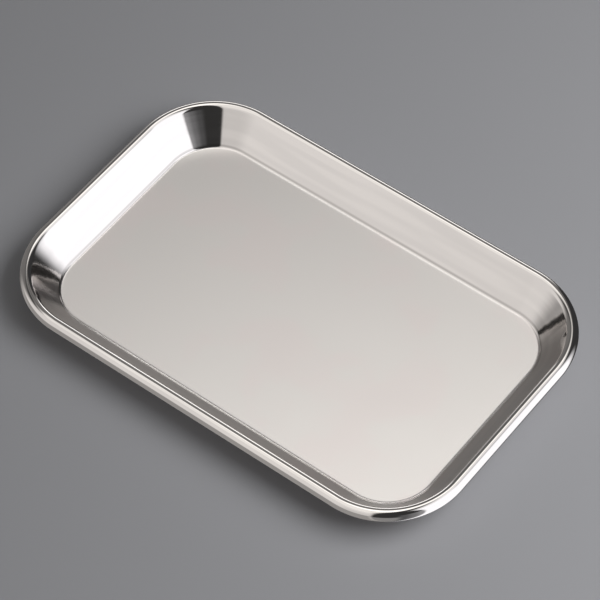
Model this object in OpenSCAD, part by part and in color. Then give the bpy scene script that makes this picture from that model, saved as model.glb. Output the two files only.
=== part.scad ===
// Shallow rectangular tray pressed from one sheet of stainless steel.
// The sheet's edge is rolled outwards and down around a wire that stiffens the rim.
// The origin is at the centre of the underside, +X runs along the tray and +Z is up.

/* [Outline] */
// Length over the rolled rim
tray_length = 254; // [200:1:480]
// Width over the rolled rim
tray_width = 165; // [120:1:320]
// Height from the underside to the top of the rim
tray_height = 17.5; // [14:0.5:24]
// Radius of the outline's corners, over the rolled rim
corner_r = 43; // [36:1:58]

/* [Pressed sheet] */
// Thickness of the sheet
sheet_t = 0.8; // [0.6:0.1:1]
// Slope of the wall, in degrees above the floor
wall_angle = 51.5; // [46:0.5:60]
// Radius of the bend between floor and wall, on the inside of the tray
foot_bend_r = 2; // [1:0.2:4]

/* [Rolled rim] */
// Outside diameter of the roll
roll_d = 6.6; // [5:0.2:8]
// Angle at the roll's centre between the top of the wall and the sheet's cut edge
roll_opening = 58; // [50:1:90]

/* [Rim wire] */
// Gap between the wire and the sheet around it
wire_play = 0.05; // [0.02:0.01:0.2]
// Gap between the two ends of the wire, which meet in the middle of the back long side
wire_end_gap = 0.6; // [0.2:0.1:2]

/* [Hidden] */
$fn = 96;

// Half sides of the rectangle through the four corner centres
half_x = tray_length / 2 - corner_r;
half_y = tray_width / 2 - corner_r;

// Sections are drawn outwards from a corner's centre: x is the distance from it and y is the height.
roll_r = roll_d / 2;
roll_x = corner_r - roll_r;
roll_y = tray_height - roll_r;
wire_r = roll_r - sheet_t - wire_play;

// The wall's inner face runs straight from the foot bend to the roll and is tangent to both.
bend_outer_r = foot_bend_r + sheet_t;
bend_to_roll = foot_bend_r + roll_r;
wall_length = (roll_y - bend_outer_r + bend_to_roll * cos(wall_angle)) / sin(wall_angle);
bend_x = roll_x - wall_length * cos(wall_angle) - bend_to_roll * sin(wall_angle);

// A sheet's thickness bent into a full circle
module sheet_ring(outer_r) {
    difference() {
        circle(outer_r);
        circle(outer_r - sheet_t);
    }
}

// The half plane to the right of the y axis, as far as a section can reach
module right_half() {
    translate([0, -corner_r]) square([corner_r, 2 * corner_r]);
}

// The opening of the roll, which starts at the top of the wall and turns back over the wall
module roll_gap() {
    reach = 2 * roll_r;
    polygon([
        [0, 0],
        for (turn = [0, roll_opening / 2, roll_opening]) reach * [-sin(turn), cos(turn)]
    ]);
}

// Section through the pressed sheet: floor, bend, sloping wall and roll
module sheet_section() {
    square([bend_x, sheet_t]);
    translate([bend_x, bend_outer_r]) {
        difference() {
            sheet_ring(bend_outer_r);
            mirror([1, 0]) right_half();
            rotate(wall_angle) right_half();
        }
        rotate(wall_angle) {
            translate([0, -bend_outer_r]) square([wall_length, sheet_t]);
            translate([wall_length, -bend_to_roll]) difference() {
                sheet_ring(roll_r);
                roll_gap();
            }
        }
    }
}

// Section through the wire, in the middle of the roll
module wire_section() {
    translate([roll_x, roll_y]) circle(wire_r);
}

// Carries a section once around the tray: four straight runs joined by four quarter turns
module around_tray() {
    for (side = [0:3]) {
        across = side % 2 == 0;
        half_run = across ? half_y : half_x;
        out = across ? half_x : half_y;
        rotate(90 * side) translate([out, half_run, 0]) {
            rotate_extrude(angle = 90) children();
            rotate([90, 0, 0]) linear_extrude(2 * half_run) children();
        }
    }
}

module tray_pan() {
    color("gainsboro") union() {
        translate([-half_x, -half_y, 0]) cube([2 * half_x, 2 * half_y, sheet_t]);
        around_tray() sheet_section();
    }
}

module rim_wire() {
    color("darkgray") difference() {
        around_tray() wire_section();
        translate([-wire_end_gap / 2, half_y + roll_x - roll_r, roll_y - roll_r])
            cube([wire_end_gap, roll_d, roll_d]);
    }
}

tray_pan();
rim_wire();
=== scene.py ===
"""A shallow stainless steel tray: one pressed sheet whose edge is rolled around a stiffening wire.

The pan is remodelled from its section: the section is drawn once, spun round a corner, run out along
the sides, mirrored and given the sheet's thickness. The rim wire keeps the frame's own mesh and gets
a finish of its own.
"""

import math

import bmesh
import bpy
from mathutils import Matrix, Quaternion, Vector


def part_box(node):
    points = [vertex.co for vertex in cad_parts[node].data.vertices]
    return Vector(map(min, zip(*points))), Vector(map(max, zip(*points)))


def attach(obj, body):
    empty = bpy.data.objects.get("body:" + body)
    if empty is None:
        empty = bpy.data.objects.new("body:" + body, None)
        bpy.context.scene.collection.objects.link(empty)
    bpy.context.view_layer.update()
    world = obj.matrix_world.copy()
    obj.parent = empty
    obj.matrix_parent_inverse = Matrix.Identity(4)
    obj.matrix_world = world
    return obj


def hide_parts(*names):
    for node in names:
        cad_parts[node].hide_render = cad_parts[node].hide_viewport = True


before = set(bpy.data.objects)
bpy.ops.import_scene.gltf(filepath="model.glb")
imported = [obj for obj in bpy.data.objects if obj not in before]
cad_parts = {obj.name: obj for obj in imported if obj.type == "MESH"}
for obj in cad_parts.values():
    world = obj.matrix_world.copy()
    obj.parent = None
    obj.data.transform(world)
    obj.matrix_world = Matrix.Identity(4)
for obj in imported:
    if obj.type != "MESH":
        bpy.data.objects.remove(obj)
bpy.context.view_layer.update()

# Sizes in metres. The outline is the frame's, and the section's own sizes are the pressed sheet's.
PAN_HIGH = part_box("tray_pan")[1]
CORNER_R = 0.043
SHEET = 0.0008
WALL_SLOPE = math.radians(51.5)
FOOT_BEND_R = 0.002
ROLL_R = 0.0033
ROLL_OPENING = math.radians(58)

# The corner's centre, and the section's own places: reach is the distance out from that centre.
HALF_X = PAN_HIGH.x - CORNER_R
HALF_Y = PAN_HIGH.y - CORNER_R
ROLL_REACH = CORNER_R - ROLL_R
ROLL_Z = PAN_HIGH.z - ROLL_R
BEND_Z = SHEET + FOOT_BEND_R
BEND_TO_ROLL = FOOT_BEND_R + ROLL_R
WALL_RUN = (ROLL_Z - BEND_Z + BEND_TO_ROLL * math.cos(WALL_SLOPE)) / math.sin(WALL_SLOPE)
BEND_REACH = ROLL_REACH - WALL_RUN * math.cos(WALL_SLOPE) - BEND_TO_ROLL * math.sin(WALL_SLOPE)

# How finely the pan is modelled
CORNER_STEPS = 48
BEND_STEPS = 8
WALL_STEPS = 5
ROLL_STEPS = 60
SUPPORT = 0.0004
SIDE_SUPPORT = 0.0012
SIDE_STEPS = 6
EDGE_ROUNDING = 0.00015
ROUNDED_ABOVE = math.radians(60)
SMOOTH_BELOW = math.radians(35)
MERGE_GAP = 1e-6

# The studio floor's size, and how far it is under the tray, so that the two faces don't coincide
FLOOR_SIZE = 12
FLOOR_GAP = 0.0003


# ---------------------------------------------------------------- camera

def add_camera():
    """The camera looks down on the tray from beyond one corner, turned a little about its own axis."""
    azimuth = math.radians(40.52)
    elevation = math.radians(53.06)
    distance = 1.5033
    aim = Vector((-0.0058, 0.0095, 0))
    back = Vector((
        math.sin(azimuth) * math.cos(elevation),
        -math.cos(azimuth) * math.cos(elevation),
        math.sin(elevation),
    ))
    data = bpy.data.cameras.new("camera")
    data.sensor_width = 36
    data.lens = 186.57
    data.clip_start = 0.05
    data.clip_end = 20
    camera = bpy.data.objects.new("camera", data)
    bpy.context.scene.collection.objects.link(camera)
    camera.location = aim + back * distance
    camera.rotation_mode = "QUATERNION"
    own_turn = Quaternion((0, 0, 1), math.radians(-3.36))
    camera.rotation_quaternion = (-back).to_track_quat("-Z", "Y") @ own_turn
    bpy.context.scene.camera = camera


# ---------------------------------------------------------------- modelling tools

def deselect_all():
    if bpy.context.object and bpy.context.object.mode != "OBJECT":
        bpy.ops.object.mode_set(mode="OBJECT")
    bpy.ops.object.select_all(action="DESELECT")


def pick_edges(test):
    """Selects the edges of the mesh in edit mode whose middle passes the test."""
    bpy.ops.mesh.select_mode(type="EDGE")
    bpy.ops.mesh.select_all(action="DESELECT")
    mesh = bmesh.from_edit_mesh(bpy.context.object.data)
    for edge in mesh.edges:
        start, end = edge.verts
        if test((start.co + end.co) / 2):
            edge.select_set(True)
    mesh.select_flush_mode()
    bmesh.update_edit_mesh(bpy.context.object.data)


def merge_doubles():
    bpy.ops.mesh.select_all(action="SELECT")
    bpy.ops.mesh.remove_doubles(threshold=MERGE_GAP)


def extrude_by(*offset):
    bpy.ops.mesh.extrude_region_move(TRANSFORM_OT_translate={"value": offset})


def apply_modifier(piece, kind, **settings):
    modifier = piece.modifiers.new(kind.title(), kind)
    for name, value in settings.items():
        setattr(modifier, name, value)
    bpy.ops.object.modifier_apply(modifier=modifier.name)


# ---------------------------------------------------------------- the pressed sheet

def draw_section():
    """Draws the sheet's upper face as one line, from a corner's centre out to the cut edge.

    The spin operator turns clockwise about its axis, so +Y turns the line upwards.
    """
    extrude_by(BEND_REACH - SUPPORT, 0, 0)
    extrude_by(SUPPORT, 0, 0)
    bend_centre = (HALF_X + BEND_REACH, HALF_Y, BEND_Z)
    bpy.ops.mesh.spin(steps=BEND_STEPS, angle=WALL_SLOPE, center=bend_centre, axis=(0, 1, 0))
    step = (WALL_RUN - 2 * SUPPORT) / WALL_STEPS
    for length in [SUPPORT] + [step] * WALL_STEPS + [SUPPORT]:
        extrude_by(length * math.cos(WALL_SLOPE), 0, length * math.sin(WALL_SLOPE))
    roll_centre = (HALF_X + ROLL_REACH, HALF_Y, ROLL_Z)
    rolled = 2 * math.pi - ROLL_OPENING
    bpy.ops.mesh.spin(steps=ROLL_STEPS, angle=-rolled, center=roll_centre, axis=(0, 1, 0))


def run_out(along, half_side):
    """Extrudes what is selected from a corner to the middle of a side, with a support line first."""
    step = (half_side - SIDE_SUPPORT) / SIDE_STEPS
    for length in [SIDE_SUPPORT] + [step] * SIDE_STEPS:
        extrude_by(*(along * length))


def model_quarter():
    """One corner of the sheet's upper face, with half of each side that meets there."""
    corner = Vector((HALF_X, HALF_Y, SHEET))
    bpy.ops.mesh.primitive_plane_add(size=SHEET, location=corner)
    bpy.ops.object.transform_apply(location=True, rotation=True, scale=True)
    bpy.ops.object.mode_set(mode="EDIT")
    bpy.ops.mesh.merge(type="CENTER")
    draw_section()
    bpy.ops.mesh.select_all(action="SELECT")
    bpy.ops.mesh.spin(steps=CORNER_STEPS, angle=math.pi / 2, center=corner, axis=(0, 0, -1))
    merge_doubles()
    pick_edges(lambda p: abs(p.x - HALF_X) < MERGE_GAP and p.y > HALF_Y)
    run_out(Vector((-1, 0, 0)), HALF_X)
    pick_edges(lambda p: abs(p.y - HALF_Y) < MERGE_GAP and p.x > HALF_X)
    run_out(Vector((0, -1, 0)), HALF_Y)
    pick_edges(lambda p: abs(p.x - HALF_X) < MERGE_GAP and p.y < HALF_Y)
    run_out(Vector((-1, 0, 0)), HALF_X)
    merge_doubles()
    bpy.ops.object.mode_set(mode="OBJECT")


def face_up(piece):
    """Makes the normals agree, with the floor's pointing up out of the tray."""
    bpy.ops.object.mode_set(mode="EDIT")
    bpy.ops.mesh.select_all(action="SELECT")
    bpy.ops.mesh.normals_make_consistent(inside=False)
    faces = bmesh.from_edit_mesh(piece.data).faces
    floor_face = min(faces, key=lambda face: face.calc_center_median().length)
    if floor_face.normal.z < 0:
        bpy.ops.mesh.flip_normals()
    bpy.ops.object.mode_set(mode="OBJECT")


def model_pan():
    """The whole pressed sheet: the quarter mirrored both ways, thickened, and its cut edge eased."""
    deselect_all()
    model_quarter()
    pan = bpy.context.object
    pan.name = "pressed_sheet"
    pan.data.materials.append(pan_face_finish())
    pan.data.materials.append(pan_back_finish())
    apply_modifier(pan, "MIRROR", use_axis=(True, True, False), merge_threshold=MERGE_GAP)
    face_up(pan)
    apply_modifier(
        pan, "SOLIDIFY", thickness=SHEET, offset=-1, use_even_offset=True,
        material_offset=1, material_offset_rim=1,
    )
    apply_modifier(
        pan, "BEVEL", width=EDGE_ROUNDING, segments=2, limit_method="ANGLE", angle_limit=ROUNDED_ABOVE,
    )
    bpy.ops.object.shade_smooth_by_angle(angle=SMOOTH_BELOW)
    return pan


# ---------------------------------------------------------------- shader maths

class Wire:
    """An output socket. Arithmetic on it adds the Math nodes that work the expression out."""

    def __init__(self, finish, socket):
        self.finish = finish
        self.socket = socket

    def __add__(self, other):
        return self.finish.math("ADD", self, other)

    def __radd__(self, other):
        return self.finish.math("ADD", other, self)

    def __sub__(self, other):
        return self.finish.math("SUBTRACT", self, other)

    def __rsub__(self, other):
        return self.finish.math("SUBTRACT", other, self)

    def __mul__(self, other):
        return self.finish.math("MULTIPLY", self, other)

    def __rmul__(self, other):
        return self.finish.math("MULTIPLY", other, self)


class NodeTree:
    """A material's or the world's nodes, added one by one."""

    def __init__(self, owner):
        owner.use_nodes = True
        self.tree = owner.node_tree

    def feed(self, socket, value):
        if isinstance(value, Wire):
            self.tree.links.new(value.socket, socket)
        else:
            socket.default_value = value

    def node(self, kind, settings=None, inputs=None, output=0):
        """Adds a node: its settings first, then its inputs' values or wires, by name or number."""
        added = self.tree.nodes.new(kind)
        for name, value in (settings or {}).items():
            setattr(added, name, value)
        for name, value in (inputs or {}).items():
            self.feed(added.inputs[name], value)
        return Wire(self, added.outputs[output])

    def math(self, operation, first, second=0.0):
        return self.node("ShaderNodeMath", {"operation": operation}, {0: first, 1: second})

    def blend(self, mask, first, second):
        """A number that goes from first to second as the mask goes from 0 to 1."""
        return self.node("ShaderNodeMix", {"data_type": "FLOAT"}, {0: mask, 2: first, 3: second})

    def tint(self, mask, first, second):
        """A colour that goes from first to second as the mask goes from 0 to 1."""
        return self.node("ShaderNodeMix", {"data_type": "RGBA"}, {0: mask, 6: first, 7: second}, 2)

    def step(self, value, low, high):
        """A mask that goes smoothly from 0 at low to 1 at high."""
        return self.node(
            "ShaderNodeMapRange", {"interpolation_type": "SMOOTHSTEP"},
            {"Value": value, "From Min": low, "From Max": high},
        )

    def parts(self, vector):
        axes = self.tree.nodes.new("ShaderNodeSeparateXYZ")
        self.feed(axes.inputs[0], vector)
        return [Wire(self, axes.outputs[axis]) for axis in "XYZ"]

    def vector(self, x, y, z):
        return self.node("ShaderNodeCombineXYZ", inputs={0: x, 1: y, 2: z})


class Finish(NodeTree):
    """A material that is being put together, around its one Principled shader."""

    def __init__(self, name, **constants):
        self.material = bpy.data.materials.new(name)
        super().__init__(self.material)
        self.shader = self.tree.nodes["Principled BSDF"]
        for socket, value in constants.items():
            self.shader.inputs[socket.replace("_", " ").title()].default_value = value

    def place(self):
        """The point on the piece, in metres."""
        return self.node("ShaderNodeTexCoord", output="Object")

    def noise(self, vector, size, detail=2.0, roughness=0.5):
        """Soft random blotches about this many metres across, from 0 to 1."""
        return self.node(
            "ShaderNodeTexNoise", inputs={
                "Vector": vector, "Scale": 1 / size, "Detail": detail, "Roughness": roughness,
            },
        )

    def relief(self, height, depth, normal=None):
        """A Bump node for a height from 0 to 1 that stands for this many metres."""
        inputs = {"Height": height, "Distance": depth, "Strength": 1.0}
        if normal:
            inputs["Normal"] = normal
        return self.node("ShaderNodeBump", inputs=inputs)

    def paint(self, **wires):
        """Feeds the shader's sockets, by name, and gives the finished material."""
        for socket, wire in wires.items():
            self.feed(self.shader.inputs[socket.replace("_", " ").title()], wire)
        return self.material


# ---------------------------------------------------------------- finishes

STEEL = (0.66, 0.632, 0.612, 1)
SATIN_STEEL = (0.76, 0.732, 0.714, 1)
WARM_STEEL = (0.77, 0.722, 0.708, 1)
STREAKED_STEEL = (0.615, 0.589, 0.572, 1)
DULL_STEEL = (0.5, 0.49, 0.48, 1)
# The darker colour painted into the crease at the foot of the wall, as shade
CREASE_PAINTED_SHADE = (0.45, 0.43, 0.415, 1)
STUDIO_GREY = (0.41, 0.412, 0.433, 1)

# Where the foot bend's finish changes, and where a painted shade darkens the crease at its foot, as
# reaches from a corner's centre
POLISH_STARTS = BEND_REACH + 0.0004
POLISH_FULL = BEND_REACH + 0.0014
CREASE_SHADE_STARTS = BEND_REACH + 0.001
CREASE_SHADE_DARKEST = BEND_REACH + 0.0014
CREASE_SHADE_LIGHTENS = BEND_REACH + 0.0016
CREASE_SHADE_ENDS = BEND_REACH + 0.0023

# The corners' dents come in over this distance. Where the tray stands, the underside is scuffed in a
# band of this width and up to this height.
CORNER_FADE = 0.008
SCUFF_WIDTH = 0.006
SCUFF_HEIGHT = 0.0003

# How much longer than broad the lines are that run round the wall and along the wire
BUFF_STRETCH = 60.0
RIPPLE_STRETCH = 14.0
DRAW_STRETCH = 8.0

# Each finish's roughness, before its clouds, grain, smudges or lines add to it
SATIN_ROUGHNESS = 0.25
MIRROR_ROUGHNESS = 0.035
UNDERSIDE_ROUGHNESS = 0.42
WIRE_ROUGHNESS = 0.35
STUDIO_FLOOR_ROUGHNESS = 0.7

# Where in a pattern's range of 0 to 1 each mark starts and is full
WARM_CLOUDS = (0.47, 0.62)
BRIGHT_RIPPLES = (0.3, 0.7)
SCUFF_SPOTS = (0.5, 0.6)

# The relief of each finish, from its lowest to its highest point
WAVE_DEPTH = 0.0003
POLISH_LINE_DEPTH = 0.00001
UNDERSIDE_DEPTH = 0.000006
DRAW_LINE_DEPTH = 0.000008


def past_centres(finish, x, y):
    """How far the point is past the corner centres, along X and along Y, in metres."""
    past_x = finish.math("MAXIMUM", finish.math("ABSOLUTE", x) - HALF_X, 0.0)
    past_y = finish.math("MAXIMUM", finish.math("ABSOLUTE", y) - HALF_Y, 0.0)
    return past_x, past_y


def reach_of(finish, past):
    """How far the point is outside the rectangle through the four corner centres, in metres."""
    past_x, past_y = past
    return finish.math("SQRT", past_x * past_x + past_y * past_y)


def corner_mask(finish, past):
    """A mask of the four rounded corners."""
    past_x, past_y = past
    return finish.step(past_x, 0, CORNER_FADE) * finish.step(past_y, 0, CORNER_FADE)


def pan_face_finish():
    """The sheet's upper face: a satin floor, a mirror polish from the foot bend outwards, and a painted
    shade darkening the crease at the foot of the wall.
    """
    f = Finish("satin_and_polished_steel", metallic=1.0)
    place = f.place()
    x, y, height = f.parts(place)
    past = past_centres(f, x, y)
    reach = reach_of(f, past)
    polished = f.step(reach, POLISH_STARTS, POLISH_FULL)
    # A painted shade darkens the crease where the floor bends up into the wall
    inside_crease_shade = f.step(reach, CREASE_SHADE_STARTS, CREASE_SHADE_DARKEST)
    crease_painted_shade = inside_crease_shade * f.step(reach, CREASE_SHADE_ENDS, CREASE_SHADE_LIGHTENS)

    clouds = f.noise(place, size=0.045, detail=3.0)
    grain = f.noise(place, size=0.0004, detail=3.0, roughness=0.6)
    satin_rough = SATIN_ROUGHNESS + 0.06 * clouds + 0.04 * grain

    up_wall = reach * math.cos(WALL_SLOPE) + height * math.sin(WALL_SLOPE)
    buff_lines = f.noise(f.vector(up_wall * BUFF_STRETCH, x, y), size=0.05, detail=3.0)
    ripples = f.noise(f.vector(up_wall * RIPPLE_STRETCH, x, y), size=0.05, detail=0.0)
    smudges = f.noise(place, size=0.018, detail=4.0)
    mirror_rough = MIRROR_ROUGHNESS + 0.03 * smudges + 0.03 * buff_lines

    dents = f.noise(place, size=0.03, detail=0.0) * corner_mask(f, past)
    waves = f.relief((ripples * 0.05 + dents * 0.6) * polished, WAVE_DEPTH)
    lines = f.blend(polished, grain * 0.2, buff_lines)
    satin = f.tint(f.step(clouds, *WARM_CLOUDS), SATIN_STEEL, WARM_STEEL)
    mirror = f.tint(f.step(ripples, *BRIGHT_RIPPLES), STREAKED_STEEL, STEEL)
    return f.paint(
        # The crease gets its painted shade over the satin and the polish
        base_color=f.tint(crease_painted_shade, f.tint(polished, satin, mirror), CREASE_PAINTED_SHADE),
        roughness=f.blend(polished, satin_rough, mirror_rough),
        normal=f.relief(lines, POLISH_LINE_DEPTH, waves),
    )


def pan_back_finish():
    """The sheet's underside and cut edge: a duller satin, with scuffs where the tray stands."""
    f = Finish("dull_satin_steel", metallic=1.0)
    place = f.place()
    x, y, height = f.parts(place)
    clouds = f.noise(place, size=0.02, detail=4.0)
    grain = f.noise(place, size=0.0005, detail=3.0, roughness=0.6)
    reach = reach_of(f, past_centres(f, x, y))
    near_bend = f.step(reach, BEND_REACH - SCUFF_WIDTH, BEND_REACH)
    stands = near_bend * f.step(height, SCUFF_HEIGHT, 0.0)
    scuffs = stands * f.step(f.noise(place, size=0.0012, detail=5.0), *SCUFF_SPOTS)
    return f.paint(
        base_color=f.tint(clouds, DULL_STEEL, STEEL),
        roughness=UNDERSIDE_ROUGHNESS + 0.08 * clouds + 0.04 * grain - 0.15 * scuffs,
        normal=f.relief(grain + 0.5 * scuffs, UNDERSIDE_DEPTH),
    )


def wire_finish():
    """Drawn wire, dull and a little stained, with fine lines along its length."""
    f = Finish("drawn_steel_wire", metallic=1.0)
    place = f.place()
    x, y, height = f.parts(place)
    reach = reach_of(f, past_centres(f, x, y))
    round_wire = f.vector(reach * DRAW_STRETCH, height * DRAW_STRETCH, x + y)
    draw_lines = f.noise(round_wire, size=0.002, detail=3.0)
    stains = f.noise(place, size=0.012, detail=4.0)
    return f.paint(
        base_color=f.tint(stains, DULL_STEEL, STEEL),
        roughness=WIRE_ROUGHNESS + 0.1 * stains + 0.08 * draw_lines,
        normal=f.relief(draw_lines, DRAW_LINE_DEPTH),
    )


def floor_finish():
    """Plain grey from above and clear from below, so that the tray's underside can be looked at."""
    f = Finish("pale_studio_floor", base_color=STUDIO_GREY, roughness=STUDIO_FLOOR_ROUGHNESS)
    solid = Wire(f, f.shader.outputs["BSDF"])
    clear = f.node("ShaderNodeBsdfTransparent")
    from_below = f.node("ShaderNodeNewGeometry", output="Backfacing")
    surface = f.node("ShaderNodeMixShader", inputs={0: from_below, 1: solid, 2: clear})
    f.feed(f.tree.nodes["Material Output"].inputs["Surface"], surface)
    return f.material


# ---------------------------------------------------------------- stage and light

def add_stage():
    bpy.ops.mesh.primitive_plane_add(size=FLOOR_SIZE, location=(0, 0, -FLOOR_GAP))
    floor = bpy.context.object
    floor.name = "studio_floor"
    floor.data.materials.append(floor_finish())
    floor.visible_glossy = False


def add_softbox(name, azimuth, elevation, distance, width, height, radiance):
    """A rectangular light that faces the tray. Azimuth is measured from +X towards +Y."""
    a = math.radians(azimuth)
    e = math.radians(elevation)
    out = Vector((math.cos(a) * math.cos(e), math.sin(a) * math.cos(e), math.sin(e)))
    light = bpy.data.lights.new(name, "AREA")
    light.shape = "RECTANGLE"
    light.size = width
    light.size_y = height
    light.energy = radiance * math.pi * width * height
    box = bpy.data.objects.new(name, light)
    bpy.context.scene.collection.objects.link(box)
    box.location = out * distance
    box.rotation_mode = "QUATERNION"
    box.rotation_quaternion = (-out).to_track_quat("-Z", "Y")
    box.visible_camera = False
    box.visible_glossy = False


class Surroundings(NodeTree):
    """The studio that the polished steel mirrors: soft-edged panels on a dark room."""

    def __init__(self, world, radiance):
        super().__init__(world)
        direction = self.node("ShaderNodeTexCoord", output="Generated")
        self.x, self.y, z = self.parts(direction)
        self.height = self.math("DEGREES", self.math("ARCSINE", z))
        self.seen = radiance

    def bearing(self, azimuth):
        """How far round from this azimuth the direction is, in degrees either way."""
        a = math.radians(azimuth)
        ahead = self.x * math.cos(a) + self.y * math.sin(a)
        aside = self.y * math.cos(a) - self.x * math.sin(a)
        return self.math("DEGREES", self.math("ARCTAN2", aside, ahead))

    def panel(self, radiance, azimuths, side_fades, elevations, end_fades):
        """Paints a panel over what is there. Every place is in degrees, azimuth from +X towards +Y.

        The sides stand at the two azimuths and the ends at the two elevations. Each one fades over
        its own number of degrees either way.
        """
        first, last = azimuths
        first_fade, last_fade = side_fades
        low, high = elevations
        low_fade, high_fade = end_fades
        half = (last - first) / 2
        round_it = self.bearing((first + last) / 2)
        mask = (
            self.step(round_it, -half - first_fade, -half + first_fade)
            * self.step(round_it, half + last_fade, half - last_fade)
            * self.step(self.height, low - low_fade, low + low_fade)
            * self.step(self.height, high + high_fade, high - high_fade)
        )
        self.seen = self.tint(mask, self.seen, radiance)


def grey(level):
    return (level, level, level, 1)


def warm(level):
    return (level, 0.978 * level, 0.96 * level, 1)


def ivory(level):
    return (level, 0.985 * level, 0.955 * level, 1)


def cool(level):
    return (0.95 * level, 0.96 * level, level, 1)


# Elevations in degrees. A panel over the top ends past it, so that it doesn't fade there.
DOWN = -90
PAST_THE_TOP = 100

# How bright the room is between its panels, and what the camera sees in place of the room
DARK_ROOM = grey(0.045)
BACKDROP = grey(0.3)


def hang_panels(room):
    """The room round the tray. The viewer stands at azimuth -50, so left and right are theirs."""
    # The ground in front, on the viewer's side
    room.panel(grey(0.33), (-75, -18), (2, 2), (DOWN, 0), (1, 6))
    # The black gap between the right-hand screen and the far wall
    room.panel(cool(0.05), (66, 104), (8, 4), (DOWN, 50), (4, 6))
    # The dim far wall, its slightly lighter right-hand part, and the strip light along its foot
    room.panel(warm(0.22), (104, 200), (4, 16), (DOWN, 48), (4, 6))
    room.panel(warm(0.26), (104, 130), (6, 8), (18, 46), (6, 6))
    room.panel(grey(2.4), (104, 150), (6, 6), (0, 14), (2, 5))
    # The broad pale screen on the left, its duller near end, and the ground under it
    room.panel(warm(1.03), (194, 289.5), (14, 3), (DOWN, 60), (4, 8))
    room.panel(warm(0.87), (255, 289.5), (12, 3), (DOWN, 40), (4, 8))
    room.panel(warm(0.42), (194, 289.5), (14, 3), (DOWN, 8), (1, 5))
    # The ceiling: its right-hand part, its left-hand part, the lamp over the far wall, and the
    # shade under that lamp
    room.panel(grey(1.25), (-10, 104), (10, 8), (56, 74), (6, 6))
    room.panel(ivory(1.24), (100, 285), (6, 8), (57, PAST_THE_TOP), (4, 1))
    room.panel(ivory(1.95), (106, 144), (8, 8), (54, 82), (5, 6))
    room.panel(grey(0.16), (132, 156), (6, 5), (26, 55), (6, 5))
    # The shade in front of the right-hand screen, lighter in three steps towards it
    room.panel(cool(0.14), (-42, -10), (4, 1), (DOWN, 28), (4, 5))
    room.panel(cool(0.26), (-32, -10), (5, 1), (DOWN, 28), (4, 5))
    room.panel(cool(0.44), (-23, -10), (4, 1), (DOWN, 28), (4, 5))
    # The white screen on the right
    room.panel(cool(1.75), (-16, 48.5), (2, 12), (DOWN, 62), (4, 8))


def add_surroundings():
    """Only reflections see the room: it doesn't light the floor, and the camera sees plain grey."""
    world = bpy.data.worlds.new("studio_surroundings")
    bpy.context.scene.world = world
    world.cycles_visibility.diffuse = False
    room = Surroundings(world, DARK_ROOM)
    hang_panels(room)
    to_camera = room.node("ShaderNodeLightPath", output="Is Camera Ray")
    shown = room.tint(to_camera, room.seen, BACKDROP)
    room.feed(room.tree.nodes["Background"].inputs["Color"], shown)


def add_lights():
    """Three softboxes light the studio floor. The steel shows the surroundings alone."""
    add_softbox(
        "right_softbox", azimuth=24, elevation=46, distance=0.92, width=0.85, height=0.6, radiance=3.9,
    )
    add_softbox(
        "left_fill", azimuth=-110, elevation=50, distance=1.1, width=0.9, height=0.7, radiance=0.12,
    )
    add_softbox(
        "overhead_softbox", azimuth=20, elevation=70, distance=1.6, width=1.6, height=1.6, radiance=0.35,
    )


# ---------------------------------------------------------------- the scene

add_camera()
pan = model_pan()
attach(pan, "root")
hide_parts("tray_pan")

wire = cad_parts["rim_wire"]
drawn_steel = wire_finish()
for slot in wire.material_slots:
    slot.material = drawn_steel

add_stage()
add_surroundings()
add_lights()
bpy.context.scene.view_settings.view_transform = "Standard"
